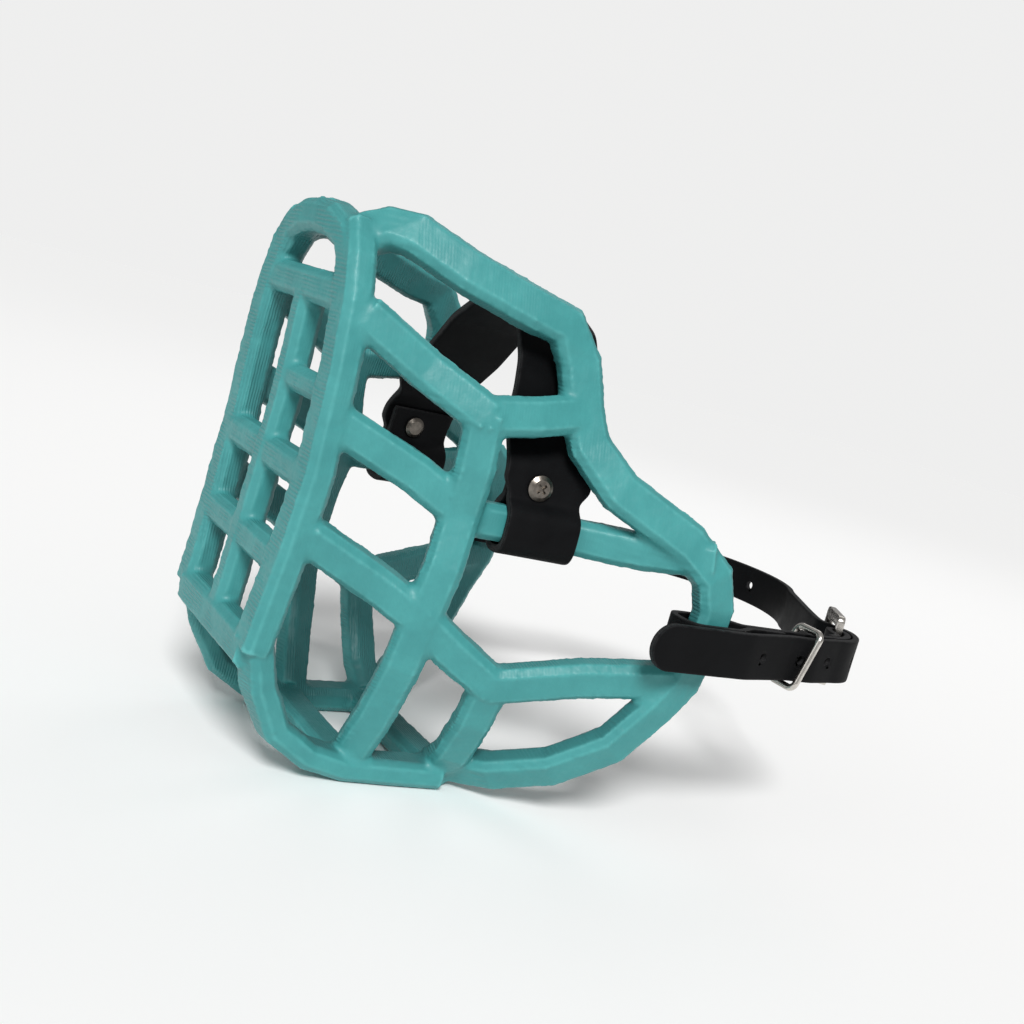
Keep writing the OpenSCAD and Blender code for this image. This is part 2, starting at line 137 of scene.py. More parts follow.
class Shader:
    """A material's node tree with short calls to add nodes to it."""

    def __init__(self, name):
        self.material = bpy.data.materials.new(name)
        self.material.use_nodes = True
        self.tree = self.material.node_tree
        self.tree.nodes.clear()
        out = self.tree.nodes.new("ShaderNodeOutputMaterial")
        self.bsdf = self.tree.nodes.new("ShaderNodeBsdfPrincipled")
        self.tree.links.new(self.bsdf.outputs[0], out.inputs["Surface"])
        coord = self.add("ShaderNodeTexCoord")
        scale = self.add("ShaderNodeMapping")
        scale.inputs["Scale"].default_value = (1 / MM, 1 / MM, 1 / MM)
        self.link(coord.outputs["Object"], scale.inputs["Vector"])
        self.mm = scale.outputs[0]
        self.normal = coord.outputs["Normal"]

    def add(self, kind, **settings):
        node = self.tree.nodes.new(kind)
        for key, value in settings.items():
            setattr(node, key, value)
        return node

    def link(self, a, b):
        self.tree.links.new(a, b)

    def noise(self, scale, detail=2.0, rough=0.5, distortion=0.0):
        """Noise with features of about 1 / scale millimetres."""
        node = self.add("ShaderNodeTexNoise")
        self.link(self.mm, node.inputs["Vector"])
        node.inputs["Scale"].default_value = scale
        node.inputs["Detail"].default_value = detail
        node.inputs["Roughness"].default_value = rough
        node.inputs["Distortion"].default_value = distortion
        return node.outputs["Fac"]

    def stripes(self, axis, pitch, distortion):
        """Stripes across an axis, pitch millimetres apart and bent by the distortion."""
        node = self.add("ShaderNodeTexWave", wave_type="BANDS", bands_direction=axis)
        self.link(self.mm, node.inputs["Vector"])
        node.inputs["Scale"].default_value = WAVE_PITCH / pitch
        node.inputs["Distortion"].default_value = distortion
        node.inputs["Detail"].default_value = 1.0
        node.inputs["Detail Scale"].default_value = 0.8
        return node.outputs["Fac"]

    def attribute(self, name):
        node = self.add("ShaderNodeAttribute", attribute_name=name)
        return node.outputs["Fac"]

    def axes(self, vector):
        """A vector's X, Y and Z."""
        node = self.add("ShaderNodeSeparateXYZ")
        self.link(vector, node.inputs[0])
        return node.outputs

    def math(self, operation, a, b=0.0):
        node = self.add("ShaderNodeMath", operation=operation)
        for socket, value in zip(node.inputs, (a, b)):
            if isinstance(value, (int, float)):
                socket.default_value = value
            else:
                self.link(value, socket)
        return node.outputs[0]

    def times(self, a, b):
        return self.math("MULTIPLY", a, b)

    def span(self, value, lo, hi, to_lo=0.0, to_hi=1.0):
        """Maps lo to to_lo and hi to to_hi, and stops at both ends."""
        node = self.add("ShaderNodeMapRange")
        self.link(value, node.inputs["Value"])
        for key, number in zip(("From Min", "From Max", "To Min", "To Max"), (lo, hi, to_lo, to_hi)):
            node.inputs[key].default_value = number
        return node.outputs["Result"]

    def blend(self, factor, a, b):
        """From a at a factor of 0 to b at 1. Each is a colour or another node's output."""
        node = self.add("ShaderNodeMix", data_type="RGBA")
        self.link(factor, node.inputs["Factor"])
        for key, value in (("A", a), ("B", b)):
            socket = next(s for s in node.inputs if s.name == key and s.type == "RGBA")
            if isinstance(value, tuple):
                socket.default_value = (*value, 1)
            else:
                self.link(value, socket)
        return next(s for s in node.outputs if s.type == "RGBA")

    def bump(self, height, distance, strength, after=None):
        """Bump from height 0 to 1, distance millimetres high."""
        node = self.add("ShaderNodeBump")
        self.link(height, node.inputs["Height"])
        node.inputs["Distance"].default_value = distance * MM
        node.inputs["Strength"].default_value = strength
        if after is not None:
            self.link(after, node.inputs["Normal"])
        return node.outputs[0]

    def set(self, **values):
        for key, value in values.items():
            socket = self.bsdf.inputs[key.replace("_", " ")]
            if isinstance(value, (int, float)):
                socket.default_value = value
            elif isinstance(value, tuple):
                socket.default_value = (*value, 1)
            else:
                self.link(value, socket)


# ---- materials ----


def print_lines(s, edge):
    """The height of the print's layers, and how far they show in each place."""
    facing, place = s.axes(s.normal), s.axes(s.mm)
    facing_nose = s.span(s.math("ABSOLUTE", facing["Y"]), 0.75, 0.92)
    across = s.stripes("Z", 1.05, 1.6)
    layers = s.stripes("Y", 0.80, 1.2)
    lines = s.math("ADD", s.times(across, facing_nose),
                   s.times(layers, s.math("SUBTRACT", 1.0, facing_nose)))
    shown = s.span(s.noise(0.10, 3.0, 0.6), 0.42, 0.60, 0.05, 1.0)
    # The outsides of the side walls are smeared smooth, and the insides are not.
    outward = s.times(facing["X"], s.math("SIGN", place["X"]))
    shown = s.times(shown, s.span(outward, 0.10, 0.50, 1.0, 0.10))
    lines = s.blend(s.span(edge, 0.25, 0.8), s.times(lines, shown), (0.5, 0.5, 0.5))
    return lines, shown


def teal_plastic():
    """Soft printed plastic: satin, smeared smooth in places, with print lines in others. Its edges
    carry a painted highlight, and its inside corners, inward walls and line grooves carry painted
    shade.
    """
    deep_patch, pale_patch = (0.045, 0.250, 0.250), (0.057, 0.296, 0.293)
    # The fleck is the plastic's own speckle. The other colours here are painted light: a lighter
    # highlight for the edges, and darker shade for inside corners, inward walls and line grooves.
    fleck, painted_edge_highlight = (0.039, 0.232, 0.235), (0.112, 0.430, 0.422)
    corner, inside_wall_shade, groove_shade = (0.028, 0.170, 0.174), (0.024, 0.106, 0.108), (0.026, 0.160, 0.165)
    s = Shader("printed_plastic")
    patches = s.span(s.noise(0.085, 3.0, 0.55), 0.35, 0.68)
    fine = s.noise(0.9, 4.0, 0.6)
    edge, hollow, inner = s.attribute("edge"), s.attribute("hollow"), s.attribute("inner")
    base = s.blend(patches, deep_patch, pale_patch)
    base = s.blend(s.span(fine, 0.3, 0.75, 0.0, 0.35), base, fleck)
    # Painted highlight: a lighter colour along the bars' edges, where light catches them.
    base = s.blend(s.times(edge, 0.6), base, painted_edge_highlight)
    # Painted shade: a darker colour in the inside corners where bars meet.
    base = s.blend(s.times(hollow, 0.5), base, corner)
    # Painted shade: a darker colour on the walls that face inwards, where less light reaches.
    base = s.blend(s.times(inner, 0.62), base, inside_wall_shade)
    lines, shown = print_lines(s, edge)
    # Painted shade: a darker colour in the grooves between print lines.
    base = s.blend(s.times(s.math("SUBTRACT", 1.0, lines), s.times(shown, 0.30)), base, groove_shade)
    normal = s.bump(lines, 0.15, 0.9)
    normal = s.bump(s.noise(0.45, 3.0, 0.55), 0.16, 0.55, normal)
    normal = s.bump(s.noise(2.8, 2.0, 0.6), 0.03, 0.5, normal)
    s.set(Base_Color=base, Roughness=s.span(fine, 0.2, 0.8, 0.38, 0.54), Normal=normal,
          Specular_IOR_Level=0.38)
    return s.material


def black_strap():
    """Coated strap: matt black with a fine grain, greyer where its edges are rubbed."""
    darkest, dark = (0.0020, 0.0022, 0.0026), (0.0042, 0.0044, 0.0050)
    speck, rubbed = (0.008, 0.008, 0.009), (0.026, 0.026, 0.027)
    s = Shader("coated_strap")
    cloud = s.noise(0.12, 3.0, 0.55)
    grain = s.noise(3.4, 3.0, 0.65)
    base = s.blend(s.span(cloud, 0.3, 0.7), darkest, dark)
    base = s.blend(s.span(grain, 0.45, 0.85, 0.0, 0.30), base, speck)
    wear = s.times(s.attribute("edge"), s.span(s.noise(0.5, 3.0, 0.6), 0.35, 0.7, 0.1, 0.8))
    base = s.blend(wear, base, rubbed)
    normal = s.bump(grain, 0.022, 0.7)
    normal = s.bump(s.noise(0.35), 0.10, 0.45, normal)
    s.set(Base_Color=base, Roughness=s.span(cloud, 0.3, 0.7, 0.50, 0.62), Normal=normal,
          Specular_IOR_Level=0.09)
    return s.material


def strap_core():
    """The cut edge of the strap, where the woven core shows."""
    s = Shader("strap_core")
    weave = s.times(s.stripes("Z", 0.55, 0.3), s.stripes("Y", 0.6, 0.3))
    base = s.blend(weave, (0.006, 0.006, 0.007), (0.024, 0.023, 0.023))
    s.set(Base_Color=base, Roughness=0.85, Normal=s.bump(weave, 0.09, 0.9))
    return s.material


def metal(name, dark, light, rough, scratch):
    """Metal with cloudy patches and fine scratches, scratch millimetres deep."""
    s = Shader(name)
    cloud = s.noise(0.35, 3.0, 0.6)
    marks = s.noise(2.2, 4.0, 0.7, 1.5)
    s.set(Base_Color=s.blend(s.span(cloud, 0.3, 0.7), dark, light), Metallic=1.0,
          Roughness=s.span(marks, 0.25, 0.8, rough, rough + 0.16),
          Normal=s.bump(marks, scratch, 0.5))
    return s.material


def floor_paint():
    s = Shader("pale_floor")
    s.set(Base_Color=(0.96, 0.96, 0.955), Roughness=0.95, Specular_IOR_Level=0.1)
    return s.material


TEAL = teal_plastic()
STRAP = black_strap()
CORE = strap_core()
NICKEL = metal("polished_nickel", (0.56, 0.53, 0.49), (0.74, 0.71, 0.66), 0.16, 0.012)
DARK = metal("dark_nickel", (0.13, 0.115, 0.10), (0.27, 0.245, 0.215), 0.24, 0.03)

# ---- mesh helpers ----

SHARP = math.radians(50)  # edges bent more than this stay sharp
HASH = (374761393, 668265263, 2147483647, 1274126177)


def new_object(name, mesh, body, slot, replaced, *materials):
    obj = bpy.data.objects.new(name, mesh)
    scene.collection.objects.link(obj)
    for m in materials:
        mesh.materials.append(m)
    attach(obj, body)
    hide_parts(*replaced)


def face_outwards(mesh):
    bm = bmesh.new()
    bm.from_mesh(mesh)
    bmesh.ops.recalc_face_normals(bm, faces=bm.faces)
    bm.to_mesh(mesh)
    bm.free()


def smooth_with_edges(mesh):
    mesh.shade_smooth()
    mesh.set_sharp_from_angle(angle=SHARP)


def store(mesh, name, values):
    """Keeps a value from 0 to 1 at each vertex, for the materials."""
    layer = mesh.attributes.new(name, "FLOAT", "POINT")
    layer.data.foreach_set("value", np.clip(values, 0, 1).astype(np.float32))


def hashed(ix, iy, iz, seed):
    """A number from 0 to 1 for each lattice point, the same every run."""
    h = (ix * HASH[0] + iy * HASH[1] + iz * HASH[2] + seed * HASH[3]) & 0xFFFFFFFF
    h = ((h ^ (h >> 13)) * HASH[3]) & 0xFFFFFFFF
    return ((h ^ (h >> 16)) & 0xFFFFFF) / float(0xFFFFFF)


def lumps(points, size, seed):
    """Smooth noise from -1 to 1 at each point, with lumps of that size."""
    p = points / size
    base = np.floor(p).astype(np.int64)
    f = p - base
    f = f * f * (3 - 2 * f)
    total = np.zeros(len(p))
    for corner in range(8):
        o = np.array([corner & 1, corner >> 1 & 1, corner >> 2 & 1])
        weight = np.prod(np.where(o, f, 1 - f), axis=1)
        q = base + o
        total += weight * hashed(q[:, 0], q[:, 1], q[:, 2], seed)
    return total * 2 - 1


def arc(centre, r, start, end, steps):
    """Points round part of a circle, from one angle in degrees to another."""
    angles = [math.radians(start + (end - start) * i / steps) for i in range(steps + 1)]
    return [(centre[0] + r * math.cos(a), centre[1] + r * math.sin(a)) for a in angles]


class Relaxer:
    """Moves a mesh's vertices towards the middle of their neighbours."""

    def __init__(self, mesh):
        n = len(mesh.vertices)
        self.co = np.empty(n * 3)
        mesh.vertices.foreach_get("co", self.co)
        self.co = self.co.reshape(-1, 3)
        edges = np.empty(len(mesh.edges) * 2, np.int32)
        mesh.edges.foreach_get("vertices", edges)
        self.a, self.b = edges[0::2], edges[1::2]
        self.count = np.maximum(np.bincount(self.a, minlength=n) + np.bincount(self.b, minlength=n), 1)
        self.mesh = mesh

    def pull(self, values=None):
        """From each vertex's value, or its place, to the mean of its neighbours'."""
        v = self.co if values is None else values
        v = v.reshape(len(v), -1)
        out = np.empty_like(v)
        for k in range(v.shape[1]):
            out[:, k] = (np.bincount(self.a, v[self.b, k], len(v))
                         + np.bincount(self.b, v[self.a, k], len(v))) / self.count - v[:, k]
        return out

    def normals(self):
        """Writes the places back to the mesh and reads its new normals."""
        self.mesh.vertices.foreach_set("co", self.co.astype(np.float32).ravel())
        self.mesh.update()
        out = np.empty(len(self.co) * 3, np.float32)
        self.mesh.vertex_normals.foreach_get("vector", out)
        return out.reshape(-1, 3).astype(float)


# ---- the layout, in mm, with the same values as the CAD ----

ROW_SHIFT = np.array((0, 70.5, 2.15))  # a place in the layout less its place in the row frame
BAR, RIM_WIDE = 7.5, 11.5              # a bar's thickness, and the rim bars' width
THICK, STRAP_WIDE = 2.0, 13.0          # the neck strap
STRAP_Z = 62.8
HOLE = 1.4                             # a punched hole's radius
RIM = (66.8 - BAR / 2, 82.4)           # the left rim bar's middle at the strap's height
POCKET = BAR / 2 + 1.2 + THICK / 2     # from the rim bar's middle to the fold's plies
FRONT = RIM[1] - RIM_WIDE / 2 - 2.2 - THICK / 2  # the fold's front
BACK = RIM[1] + RIM_WIDE / 2 + 2.6     # where the fold's plies start to close up
MAIN = RIM[0] + 0.1                    # the strap's own ply, behind the rim
FOLD = MAIN + THICK + 0.2              # the folded ply outside it
RIVET = BACK + 10.5
CUT = RIVET + 8                        # the folded ply's cut end
TURN, TURN_R = 58, 14                  # degrees and radius of the bend before the buckle
TURN_C = (MAIN - TURN_R, RIM[1] + 48.7)
DIR = (-math.sin(math.radians(TURN)), math.cos(math.radians(TURN)))
OUT = (math.cos(math.radians(TURN)), math.sin(math.radians(TURN)))
WIRE = 2.8                             # the buckle's heel bar
WRAP = WIRE / 2 + 0.35 + THICK / 2     # from the heel bar's middle to the strap round it
HEEL = tuple(TURN_C[i] + TURN_R * OUT[i] + 1.2 * DIR[i] - WRAP * OUT[i] for i in (0, 1))
BUCKLE = 14                            # from the heel bar to the far bar

BAND_Y, BAND_THICK, BAND_WIDE, BAND_NARROW = 33, 2.2, 25.0, 21.0
WAIST_Z = 82.5
WAIST = [np.array((43.5, 15, WAIST_Z)), np.array((47.0, 45, WAIST_Z))]  # the bar the band loops round
RISE = 11.4                            # from the waist bar to the band's screw


def by_buckle(along, outward):
    """A place in plan, from the heel bar's middle towards the far bar and outwards."""
    return (HEEL[0] + DIR[0] * along + OUT[0] * outward, HEEL[1] + DIR[1] * along + OUT[1] * outward)


# ---- the basket ----

MIDDLE_OF_HOLLOW = np.array([0, -40, 70]) * MM
EASE = 0.5                  # how far each round of smoothing goes
REACH = 0.7 * MM            # the smoothing below is counted in rounds at this voxel size
ROUND_OFF, FILL_IN = 1.2, 26
# Each layer of lumps has a height in mm, more height at an edge, a size in mm and a seed.
LUMPS = ((0.13, 0, 11, 1), (0.07, 0, 4.5, 2), (0.04, 0.30, 2.3, 3), (0.03, 0.20, 1.2, 4))


def remeshed(voxel):
    """The CAD basket's shape in even small faces."""
    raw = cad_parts["basket"].data.copy()
    bm = bmesh.new()
    bm.from_mesh(raw)
    bmesh.ops.remove_doubles(bm, verts=bm.verts, dist=1e-6)
    bm.to_mesh(raw)
    bm.free()
    holder = bpy.data.objects.new("basket_raw", raw)
    scene.collection.objects.link(holder)
    step = holder.modifiers.new("remesh", "REMESH")
    step.mode, step.voxel_size = "VOXEL", voxel
    graph = bpy.context.evaluated_depsgraph_get()
    mesh = bpy.data.meshes.new_from_object(holder.evaluated_get(graph))
    bpy.data.objects.remove(holder)
    mesh.name = "basket"
    mesh.materials.clear()
    return mesh


def fillet(r, voxel):
    """Eases the bars, then fills the inside corners where they meet and leaves edges crisp."""
    rounds = (REACH / voxel) ** 2
    for _ in range(int(ROUND_OFF * rounds)):
        r.co += EASE * r.pull()
    for _ in range(int(FILL_IN * rounds)):
        normal = r.normals()
        pull = r.pull()
        inward = (pull * normal).sum(1)
        r.co += pull * np.where(inward > 0.015 * voxel, EASE, 0.0)[:, None]
    r.co += EASE * r.pull()


def rubbed_by_straps(p):
    """1 where a strap's loop has rubbed its bar smooth, and 0 away from the loops."""
    rubbed = np.zeros(len(p))
    long, soft_edge = 17, 4
    for y, z, tall, least_x in ((RIM[1], STRAP_Z, 11, 50), (BAND_Y, WAIST_Z, 13, 35)):
        away = np.maximum(np.abs(p[:, 1] / MM - y + ROW_SHIFT[1]) / long,
                          np.abs(p[:, 2] / MM - z + ROW_SHIFT[2]) / tall)
        on_side = np.abs(p[:, 0]) > least_x * MM
        rubbed = np.maximum(rubbed, np.clip(soft_edge * (1 - away), 0, 1) * on_side)
    return rubbed


def roughness(p, normal, edge):
    """How far each place stands out from the smooth bars, in mm."""
    side = np.abs(normal[:, 1]) < 0.5
    rough = np.zeros(len(p))
    for height, at_edge, size, seed in LUMPS:
        rough += (height + at_edge * edge) * lumps(p, size * MM, seed)
    # Thin layers show on surfaces that face sideways, and rows on those that face the nose
    # or the back.
    rough += 0.04 * side * lumps(p * np.array([0.35, 3.0, 0.35]), 1.5 * MM, 5)
    rough += 0.10 * ~side * lumps(p * np.array([0.25, 0.4, 2.6]), 2.4 * MM, 6)
    # A ridge of plastic stands up along parts of each edge.
    rough += 0.25 * edge * np.clip(lumps(p, 14 * MM, 7) + 0.35, 0, 1)
    rubbed = rubbed_by_straps(p)
    return rough * (1 - 0.85 * rubbed) - 0.08 * rubbed


def build_basket(voxel):
    """The lattice with rounded bars, filleted joints and the slight lumps of a soft print."""
    mesh = remeshed(voxel)
    r = Relaxer(mesh)
    fillet(r, voxel)
    normal = r.normals()
    bend = (r.pull() * normal).sum(1) / voxel ** 2 * MM
    for _ in range(3):
        bend += EASE * r.pull(bend)[:, 0]
    edge = np.clip((-bend - 0.05) / 0.10, 0, 1)
    hollow = np.clip((bend - 0.03) / 0.12, 0, 1)
    inwards = MIDDLE_OF_HOLLOW - r.co
    inwards /= np.linalg.norm(inwards, axis=1)[:, None]
    inner = ((normal * inwards).sum(1) - 0.15) / 0.45
    # The rungs that the basket stands on stay flat underneath.
    above_floor = np.clip((r.co[:, 2] - 0.8 * MM) / (2 * MM), 0, 1)
    r.co = r.co + normal * (0.04 + roughness(r.co, normal, edge) * above_floor)[:, None] * MM
    r.co[:, 2] = np.maximum(r.co[:, 2], 0)
    r.normals()
    # These values set the plastic's painted highlight along its edges and its painted shade in inside
    # corners and on walls that face inwards.
    store(mesh, "edge", edge)
    store(mesh, "hollow", hollow)
    store(mesh, "inner", inner)
    mesh.shade_smooth()
    new_object("basket_print", mesh, "basket", "moulded_plastic", ["basket"], TEAL)


# ---- straps ----

EDGE_ROUND = 0.5   # mm, the rounding along every edge of a strap
HOLE_FLARE = 0.5   # a punched hole's edge is rounded by this much of that
CORE_BAND = 2      # the middle one of a cut edge's bands, where the core shows
FACE_STEP = (1.1, 0.6)  # mm between points on a strap's faces, along and across


class Hole(namedtuple("Hole", "along across radius slot", defaults=(0,))):
    """A punched hole, or a slot where its middle line is longer than 0. All in mm."""

    def ring(self, inset):
        a = np.arange(20) / 20 * 2 * math.pi
        x = self.along + (self.radius + inset) * np.cos(a) + np.sign(np.cos(a)) * self.slot / 2
        return np.stack([x, self.across + (self.radius + inset) * np.sin(a)], 1)

    def covers(self, along, across, margin):
        x = max(abs(along - self.along) - self.slot / 2, 0)
        return math.hypot(x, across - self.across) <= self.radius + margin


class Ribbon:
    """Maps flat strap coordinates (along, across, height), in mm, on to its path."""

    def __init__(self, points, laterals, ease):
        joined = self.even_steps(np.hstack([points, laterals]))
        for _ in range(ease):
            joined[1:-1] += 0.5 * ((joined[:-2] + joined[2:]) / 2 - joined[1:-1])
        self.p = joined[:, :3]
        self.lat = joined[:, 3:] / np.linalg.norm(joined[:, 3:], axis=1)[:, None]
        self.s = self.lengths(self.p)
        run = np.gradient(self.p, axis=0)
        run /= np.linalg.norm(run, axis=1)[:, None]
        self.up = np.cross(self.lat, run)
        self.up /= np.linalg.norm(self.up, axis=1)[:, None]
        self.length = self.s[-1]

    @staticmethod
    def lengths(p):
        return np.concatenate([[0], np.cumsum(np.linalg.norm(np.diff(p, axis=0), axis=1))])

    def even_steps(self, p, step=0.5):
        along = self.lengths(p)
        s = np.linspace(0, along[-1], int(along[-1] / step) + 1)
        return np.stack([np.interp(s, along, p[:, k]) for k in range(p.shape[1])], 1)

    def place(self, along, across, height):
        def at(values):
            return np.stack([np.interp(along, self.s, values[:, k]) for k in range(3)], 1)
        return (at(self.p) + at(self.lat) * across[:, None] + at(self.up) * height[:, None]) * MM

    def nearest(self, point):
        """How far along the path a point in mm is."""
        return self.s[np.argmin(np.linalg.norm(self.p - np.array(point), axis=1))]


def edge_levels(low, high, r):
    """Insets and heights down a rounded edge, from a piece's top face to its bottom face."""
    k = 0.15 * r
    return [(r, high), (k, high - k), (0, high - r), (0, low + r), (k, low + k), (r, low)]


def outline(length, half, inset, tip):
    """The strap's flat outline: half(s) is its half-width, and tip the radius of a round end."""
    end = length - inset if tip is None else length - tip
    s = np.linspace(inset, end, max(int(length / 0.9), 4))
    side = np.array([half(v) for v in s]) - inset
    right = np.stack([s, side], 1)
    left = np.stack([s[::-1], -side[::-1]], 1)
    if tip is None:
        v = np.linspace(side[-1], -side[-1], 14)[1:-1]
        cap = np.stack([np.full(len(v), end), v], 1)
    else:
        a = np.linspace(math.pi / 2, -math.pi / 2, 26)[1:-1]
        cap = np.stack([end + (tip - inset) * np.cos(a), (half(end) - inset) * np.sin(a)], 1)
    v = np.linspace(-side[0], side[0], 14)[1:-1]
    butt = np.stack([np.full(len(v), inset), v], 1)
    return np.vstack([right, cap, left, butt])


def edge_faces(loops):
    """Faces down the outline's edge and down each hole, and which of them show the core."""
    faces, core, start = [], [], 0
    for loop in loops:
        n = len(loop[0])
        for k in range(len(loop) - 1):
            a, b = start + k * n, start + (k + 1) * n
            for i in range(n):
                j = (i + 1) % n
                faces.append((a + i, b + i, b + j, a + j) if start else (a + j, b + j, b + i, a + i))
                core.append(k == CORE_BAND)
        start += len(loop) * n
    return faces, core


def face_points(length, half, holes, tip):
    """Points spread over a strap's face, clear of its edges and holes."""
    clear = 1.1
    points = []
    for s in np.arange(1.5, length - 1.2, FACE_STEP[0]):
        w = half(s) - clear
        for v in np.linspace(-w, w, max(int(w / FACE_STEP[1]), 3)):
            past_tip = tip and s > length - tip and math.hypot(s - length + tip, v) > tip - clear
            if not past_tip and not any(h.covers(s, v, 0.7) for h in holes):
                points.append((s, v))
    return np.array(points)


def cover_faces(loops, points, holes):
    """The strap's top and bottom faces, between the first and last rings of its loops."""
    corners, edges, pairs = [], [], []
    start = 0
    for loop in loops:
        base, n = len(corners), len(loop[0])
        corners += [Vector(p) for p in loop[0]]
        edges += [(base + i, base + (i + 1) % n) for i in range(n)]
        pairs += [(start + i, start + (len(loop) - 1) * n + i) for i in range(n)]
        start += len(loop) * n
    corners += [Vector(p) for p in points]
    pairs += [(start + i, start + len(points) + i) for i in range(len(points))]
    out, _, triangles, sources, _, _ = delaunay_2d_cdt(corners, edges, [], 1, 1e-5)
    faces = []
    for t in triangles:
        centre = sum((out[i] for i in t), Vector((0, 0))) / len(t)
        in_hole = any(h.covers(centre.x, centre.y, 0.3 * EDGE_ROUND) for h in holes)
        if not in_hole and all(sources[i] for i in t):
            faces.append(tuple(pairs[sources[i][0]][0] for i in t))
            faces.append(tuple(pairs[sources[i][0]][1] for i in reversed(t)))
    return faces


def strap(name, ribbon, half, thick, holes, body, replaced, tip=None, seed=5):
    """A strap with rounded edges and real punched holes, bent along its ribbon."""
    levels = edge_levels(-thick / 2, thick / 2, EDGE_ROUND)
    loops = [[outline(ribbon.length, half, inset, tip) for inset, _ in levels]]
    loops += [[hole.ring(inset * HOLE_FLARE) for inset, _ in levels] for hole in holes]
    points = face_points(ribbon.length, half, holes, tip)
    faces, core = edge_faces(loops)
    covers = cover_faces(loops, points, holes)
    faces += covers
    core += [False] * len(covers)

    flat = np.vstack([ring for loop in loops for ring in loop] + [points, points])
    height = [np.full(len(ring), h) for loop in loops for ring, (_, h) in zip(loop, levels)]
    height = np.concatenate(height + [np.full(len(points), h) for h in (thick / 2, -thick / 2)])
    last = len(levels) - 1
    edge = [np.full(len(ring), float(0 < k < last)) for loop in loops for k, ring in enumerate(loop)]
    edge = np.concatenate(edge + [np.zeros(2 * len(points))])

    # A slight wave, so that the faces aren't perfectly flat, and ragged cut ends.
    wave = 0.05 * lumps(np.column_stack([flat, np.zeros(len(flat))]), 6.0, seed)
    ragged = 0.10 * lumps(np.column_stack([flat, height]), 1.1, seed + 1)
    ends = (flat[:, 0] < 0.6) | ((flat[:, 0] > ribbon.length - 0.6) & (tip is None))
    co = ribbon.place(flat[:, 0] + ragged * ends, flat[:, 1], height + wave)
    mesh = bpy.data.meshes.new(name)
    mesh.from_pydata(co.tolist(), [], faces)
    mesh.validate()
    mesh.update()
    store(mesh, "edge", edge)
    face_outwards(mesh)
    new_object(name, mesh, body, "black_strap", replaced, STRAP, CORE)
    if len(mesh.polygons) == len(core):
        mesh.polygons.foreach_set("material_index", np.array(core, np.int32))
    smooth_with_edges(mesh)


def in_plan(place):
    """A place in plan, at the neck strap's height, in mm in the row frame."""
    return np.array((*place, STRAP_Z)) - ROW_SHIFT


def plan_ribbon(line):
    return Ribbon([in_plan(place) for place in line], [(0, 0, 1)] * len(line), ease=8)


def rim_fold():
    """The strap's end, folded round the left rim bar, from its cut to its main ply."""
    bend, x = 4, RIM[0]
    return ([(FOLD, CUT), (FOLD, RIVET - 4.5), (x + POCKET, BACK)]
            + arc((x + POCKET - bend, FRONT + bend), bend, 0, -90, 5)
            + arc((x - POCKET + bend, FRONT + bend), bend, 270, 180, 5)
            + [(x - POCKET, BACK), (MAIN, RIVET - 5.5)])


def build_buckle_strap():
    """The short strap: folded round the rim bar, and turned back round the buckle's heel bar."""
    round_heel = [by_buckle(math.cos(math.radians(a)) * WRAP, math.sin(math.radians(a)) * WRAP)
                  for a in range(90, -91, -20)]
    back_in = [by_buckle(-3.5, -WRAP + 0.4)] + arc(TURN_C, TURN_R - THICK - 0.25, TURN - 30, 4, 6)
    path = plan_ribbon(rim_fold() + arc(TURN_C, TURN_R, 0, TURN, 12) + round_heel + back_in)
    prong_slot = Hole(path.nearest(in_plan(by_buckle(WRAP, 0))), 0, 2.0, 3.4)
    strap("buckle_strap_soft", path, lambda s: STRAP_WIDE / 2, THICK, [prong_slot],
          "neck_strap", ["buckle_strap"], seed=11)


def build_billet():
    """The long strap: round the back, through the buckle, and forward past the left rim bar."""
    outer = FOLD + THICK + 0.55
    over = TURN_R + THICK + 0.45
    under = -WIRE / 2 - 1.3 - THICK / 2
    tip_x, tip_y = RIM[0] + POCKET + THICK + 0.7, RIM[1] - 22.8
    half_across, deep = 44, 51.5
    angles = [math.radians(180 - 7 * i) for i in range(19)]
    back = [(-MAIN + half_across + half_across * math.cos(a), TURN_C[1] - 8 + deep * math.sin(a))
            for a in angles]
    through = [by_buckle(BUCKLE + 9, under - 0.6), by_buckle(BUCKLE + 1, under),
               by_buckle(BUCKLE - 2.6, under + 0.5), by_buckle(4.6, WRAP + THICK / 2 + 0.6),
               by_buckle(1.5, WRAP + THICK + 0.45)]
    forward = [(outer, TURN_C[1] - 10), (outer, CUT + 2), (tip_x - 0.1, BACK + 2),
               (tip_x, RIM[1] - 6), (tip_x, tip_y)]
    path = plan_ribbon([(-x, y) for x, y in rim_fold()] + back + through
                       + arc(TURN_C, over, TURN, 0, 12) + forward)
    in_turn = arc(TURN_C, over, TURN, TURN - 23, 1)[-1]

    def hole_at(place, radius=HOLE, slot=0):
        return Hole(path.nearest(in_plan(place)), 0, radius, slot)

    holes = [hole_at((outer, RIM[1] + d)) for d in (15.5, 33, 44.3)]
    holes += [hole_at(in_turn), hole_at(by_buckle(7.3, 1.2), radius=1.6, slot=7.5)]
    holes += [hole_at(back[i]) for i in (9, 12)]
    strap("billet_strap_soft", path, lambda s: STRAP_WIDE / 2, THICK, holes, "neck_strap",
          ["billet_strap"], tip=STRAP_WIDE / 2, seed=21)


